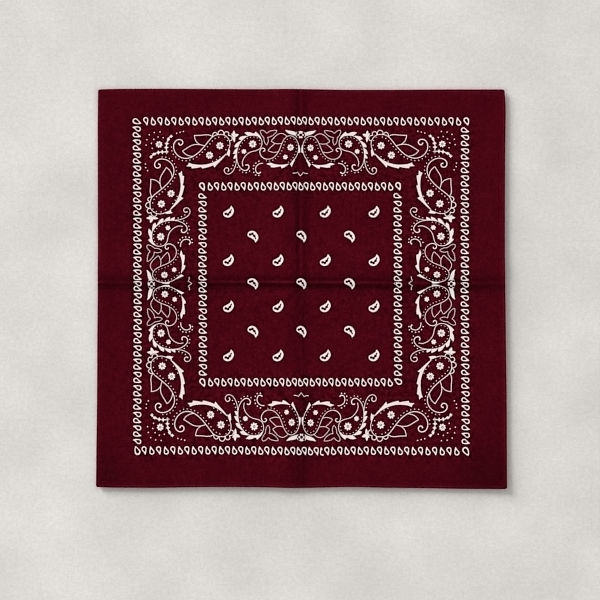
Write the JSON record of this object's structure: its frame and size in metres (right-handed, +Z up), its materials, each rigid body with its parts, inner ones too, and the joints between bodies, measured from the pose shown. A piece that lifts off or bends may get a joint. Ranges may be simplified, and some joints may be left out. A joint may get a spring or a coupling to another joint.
{
  "type": "bandana",
  "caption": "Square printed cotton bandana lying flat, with narrow turned hems and a cross of soft fold creases, in burgundy with a white paisley print.",
  "frame": {"origin": "on the surface the cloth lies on, under the middle of its bounding box", "axes": "+X to the cloth's right edge, +Y to its top edge as laid, +Z up out of the printed face"},
  "size_m": [0.5536, 0.5394, 0.0045],
  "materials": {
    "printed_cotton": "matte plain-weave cotton, burgundy with a white print",
    "turned_cotton": "matte plain-weave cotton, burgundy, turned under and stitched"
  },
  "bodies": {
    "root": {"panel": "printed_cotton", "hem_top": "turned_cotton", "hem_bottom": "turned_cotton", "hem_left": "turned_cotton", "hem_right": "turned_cotton"}
  },
  "joints": []
}
